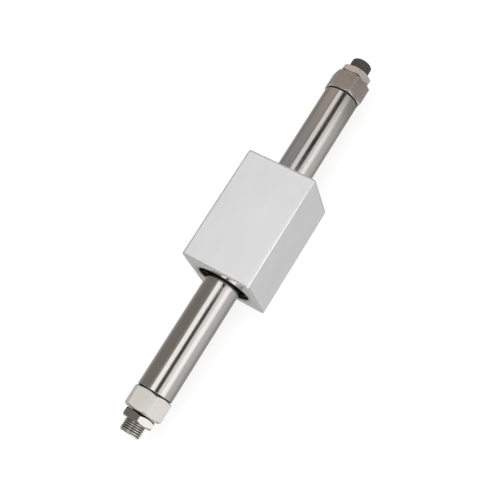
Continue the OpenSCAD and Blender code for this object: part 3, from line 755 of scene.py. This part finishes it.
# near-black colour and added roughness of the dirt-and-shade layer, mostly painted shade
dirtAndShadeLook = {"colour": (0.02, 0.016, 0.013), "rough": 0.4}
metalGrain = {
    "detail": 4.0,                                          # of the fine grain
    "cloud": (9.0, (0.6, 1, 1), 3.0, 0.37), "cloudShare": 0.6,
    "blend": (0.6, 1.0),                                    # the blend's low and high ends
    "spots": (0.8, (1, 1, 1), 4.0, 0.11), "spotRange": (0.0, 0.8, 0.4, 0.7),
}
metals = {
    # colours and roughness at the grain's two ends, grain and bump in mm, the worn edge's colour,
    # then what differs from clean metal: its share, the edges' share, how much smoother parts are
    "polishedStainless": {"colours": ((0.60, 0.585, 0.565), (0.66, 0.645, 0.625)),
                          "rough": (0.11, 0.18), "size": 0.5, "stretch": (0.02, 1, 1),
                          "bump": 0.0006, "worn": (0.7, 0.69, 0.68), "specular": 0.1},
    "anodisedBody": {"colours": ((0.752, 0.762, 0.777), (0.792, 0.802, 0.817)),
                     "rough": (0.36, 0.44), "size": 0.25, "stretch": (1, 1, 1), "bump": 0.0035,
                     "worn": (0.87, 0.88, 0.89), "metal": 0.45, "edgeMetal": 0.72,
                     "edgeSmooth": 0.2, "bareSmooth": 0.27, "bareColour": (0.895, 0.90, 0.905)},
    "coverSatin": {"colours": ((0.69, 0.665, 0.632), (0.75, 0.725, 0.692)), "rough": (0.3, 0.42),
                   "size": 0.3, "stretch": (1, 0.12, 0.12), "bump": 0.002,
                   "worn": (0.86, 0.85, 0.83), "metal": 0.45, "bareSmooth": 0.12,
                   "bareColour": (0.72, 0.695, 0.662)},
    # a darker, browner copy of the cover's finish: painted shade for the front cover
    "coverDim": {"colours": ((0.50, 0.46, 0.425), (0.56, 0.52, 0.485)), "rough": (0.24, 0.34),
                 "size": 0.3, "stretch": (1, 0.12, 0.12), "bump": 0.002,
                 "worn": (0.84, 0.82, 0.79), "specular": 0.1, "bareSmooth": 0.1,
                 "bareColour": (0.53, 0.495, 0.455)},
    "nutDim": {"colours": ((0.62, 0.58, 0.55), (0.70, 0.66, 0.63)), "rough": (0.2, 0.3),
               "size": 0.6, "stretch": (1, 1, 1), "bump": 0.0012, "worn": (0.8, 0.78, 0.75),
               "metal": 0.7},
    "platedNut": {"colours": ((0.53, 0.505, 0.48), (0.60, 0.575, 0.55)), "rough": (0.08, 0.15),
                  "size": 0.6, "stretch": (1, 1, 1), "bump": 0.0012, "worn": (0.85, 0.84, 0.82)},
    "brightSteel": {"colours": ((0.55, 0.55, 0.55), (0.63, 0.63, 0.63)), "rough": (0.18, 0.28),
                    "size": 0.3, "stretch": (0.05, 1, 1), "bump": 0.001, "worn": (0.8, 0.8, 0.8)},
    "yokeSteel": {"colours": ((0.36, 0.36, 0.37), (0.46, 0.46, 0.47)), "rough": (0.3, 0.42),
                  "size": 0.25, "stretch": (1, 0.1, 0.1), "bump": 0.002, "worn": (0.6, 0.6, 0.6)},
    "magnetAlloy": {"colours": ((0.26, 0.26, 0.28), (0.34, 0.34, 0.36)), "rough": (0.32, 0.5),
                    "size": 0.4, "stretch": (1, 1, 1), "bump": 0.003, "worn": (0.5, 0.5, 0.52)},
    "blackSteel": {"colours": ((0.035, 0.035, 0.036), (0.065, 0.065, 0.066)), "rough": (0.34, 0.5),
                   "size": 0.3, "stretch": (1, 1, 1), "bump": 0.002, "worn": (0.2, 0.2, 0.2)},
    "blackAnodised": {"colours": ((0.02, 0.02, 0.022), (0.045, 0.045, 0.048)), "rough": (0.3, 0.44),
                      "size": 0.25, "stretch": (1, 0.12, 0.12), "bump": 0.002,
                      "worn": (0.12, 0.12, 0.12)},
}


# One sum on sockets or plain numbers: a, then the operation, then b
def calculated(tree, operation, a, b, clamped=False):
    node = addNode(tree, "ShaderNodeMath", operation=operation, use_clamp=clamped)
    for place, value in ((0, a), (1, b)):
        if isinstance(value, float):
            node.inputs[place].default_value = value
        else:
            tree.links.new(value, node.inputs[place])
    return node.outputs[0]


# Metal: the fine grain plus a share of a broad cloud moves the colour and the roughness. Layers:
# wear brightens the edges, cut is freshly turned, bare is smoother, and the dirt-and-shade layer,
# mostly painted shade, is dull and dark.
def metalFinish(name, layers=()):
    look = metals[name]
    mat, tree, base = newFinish(name, look.get("metal", 1.0), look.get("specular", 0.5))
    fine = grain(tree, look["size"], look["stretch"], metalGrain["detail"])
    cloud = grain(tree, *metalGrain["cloud"])
    blend = summed(tree, fine, cloud, metalGrain["cloudShare"])
    colour = blended(tree, ranged(tree, blend, 0, 1, *metalGrain["blend"]), *look["colours"])
    rough = ranged(tree, blend, *look["rough"], *metalGrain["blend"])
    shine = look.get("metal", 1.0)
    if "wear" in layers:
        spots = ranged(tree, grain(tree, *metalGrain["spots"]), *metalGrain["spotRange"])
        amount = calculated(tree, "MULTIPLY", spots, layer(tree, "wear"))
        colour = blended(tree, amount, colour, look["worn"])
        shine = ranged(tree, layer(tree, "wear"), shine, look.get("edgeMetal", 1.0), 0, 1)
        drop = calculated(tree, "MULTIPLY", layer(tree, "wear"), look.get("edgeSmooth", 0.0))
        rough = calculated(tree, "SUBTRACT", rough, drop)
    if "cut" in layers:
        colour = blended(tree, layer(tree, "cut"), colour, look["worn"])
        shine = calculated(tree, "MAXIMUM", shine, layer(tree, "cut"))
    if "bare" in layers:
        colour = blended(tree, layer(tree, "bare"), colour, look["bareColour"])
        shine = calculated(tree, "MAXIMUM", shine, layer(tree, "bare"))
        drop = calculated(tree, "MULTIPLY", layer(tree, "bare"), look["bareSmooth"])
        rough = calculated(tree, "SUBTRACT", rough, drop)
    # painted shade, with some dirt: darker, less metallic and rougher
    if "dirtAndShade" in layers:
        grime = layer(tree, "dirtAndShade")
        colour = blended(tree, grime, colour, dirtAndShadeLook["colour"])
        shine = calculated(tree, "SUBTRACT", shine, grime, clamped=True)
        rise = calculated(tree, "MULTIPLY", grime, dirtAndShadeLook["rough"])
        rough = calculated(tree, "ADD", rough, rise)
    tree.links.new(colour, base.inputs["Base Color"])
    if layers:
        tree.links.new(shine, base.inputs["Metallic"])
    tree.links.new(rough, base.inputs["Roughness"])
    bumped(tree, base, fine, look["bump"])
    return mat


softGrain = {"detail": 4.0, "cloud": (4.0, (1, 1, 1), 3.0, 0.21), "cloudShare": 0.8,
             "blend": (0.7, 1.1)}
softs = {
    # colours and roughness at the grain's two ends, grain and bump in mm, sheen
    "blackRubber": {"colours": ((0.012, 0.012, 0.013), (0.03, 0.03, 0.032)), "rough": (0.45, 0.65),
                    "size": 0.12, "bump": 0.006, "sheen": 0.0},
    "greyUrethane": {"colours": ((0.16, 0.165, 0.17), (0.22, 0.225, 0.23)), "rough": (0.4, 0.55),
                     "size": 0.2, "bump": 0.005, "sheen": 0.0},
    "darkResin": {"colours": ((0.05, 0.05, 0.055), (0.1, 0.1, 0.105)), "rough": (0.35, 0.5),
                  "size": 0.15, "bump": 0.004, "sheen": 0.0},
    "tanResin": {"colours": ((0.42, 0.30, 0.17), (0.52, 0.38, 0.23)), "rough": (0.4, 0.55),
                 "size": 0.2, "bump": 0.004, "sheen": 0.0},
    "oiledFelt": {"colours": ((0.28, 0.21, 0.12), (0.46, 0.36, 0.22)), "rough": (0.75, 0.95),
                  "size": 0.1, "bump": 0.03, "sheen": 0.4},
}


# Rubber, resin or felt: a fine grain and a cloud of bloom move colour and roughness
def softFinish(name):
    look = softs[name]
    mat, tree, base = newFinish(name, 0.0)
    fine = grain(tree, look["size"], (1, 1, 1), softGrain["detail"])
    cloud = grain(tree, *softGrain["cloud"])
    blend = summed(tree, fine, cloud, softGrain["cloudShare"])
    colour = blended(tree, ranged(tree, blend, 0, 1, *softGrain["blend"]), *look["colours"])
    rough = ranged(tree, blend, *look["rough"], *softGrain["blend"])
    tree.links.new(colour, base.inputs["Base Color"])
    tree.links.new(rough, base.inputs["Roughness"])
    base.inputs["Sheen Weight"].default_value = look["sheen"]
    bumped(tree, base, fine, look["bump"])
    return mat


slotFinish = {
    "polished_stainless": "polishedStainless", "anodised_body": "anodisedBody",
    "machined_aluminium": "coverSatin", "plated_nut": "platedNut", "bright_steel": "brightSteel",
    "yoke_steel": "yokeSteel", "magnet_alloy": "magnetAlloy", "black_steel": "blackSteel",
    "black_anodised": "blackAnodised", "black_rubber": "blackRubber",
    "grey_urethane": "greyUrethane", "dark_resin": "darkResin", "tan_resin": "tanResin",
    "oiled_felt": "oiledFelt",
}


dresses = {
    "tube": ("polishedStainless", ("wear", "dirtAndShade")),
    "slider": ("anodisedBody", ("wear", "bare", "dirtAndShade")),
    "rearCover": ("coverSatin", ("wear", "cut", "bare", "dirtAndShade")),
    # the front cover takes the darker copy of the cover's finish: painted shade
    "frontCover": ("coverDim", ("wear", "cut", "bare", "dirtAndShade")),
    "rearNut": ("platedNut", ("wear", "dirtAndShade")),
    "frontNut": ("nutDim", ("wear", "dirtAndShade")),
}


# The finish is the piece's only one
def dress(piece, mat):
    piece.data.materials.clear()
    piece.data.materials.append(mat)


bpy.context.scene.view_settings.view_transform = "Standard"
makeCamera()
makeRoom()
for name, look in panels.items():
    makePanel(name, look)
makeStage(cadBox[0].z)
print("camera, room and floor ready")

made = {"tube": makeTube(), "slider": makeSlider()}
for end in ("rear", "front"):
    made[end + "Cover"] = makeCover(end)
    made[end + "Nut"] = makeNut(end)
print("surfaces made:", ", ".join(made))

finishes = {n: metalFinish(n) for n in metals} | {n: softFinish(n) for n in softs}
for name, node in nodes.items():
    slots = node.material_slots
    old = slots[0].material.name if len(slots) and slots[0].material else ""
    mat = finishes[slotFinish[old.split(".")[0]]]
    for s in slots:
        s.material = mat
for key, (finish, layers) in dresses.items():
    dress(made[key], metalFinish(finish, layers))
print("finishes ready:", len(finishes))
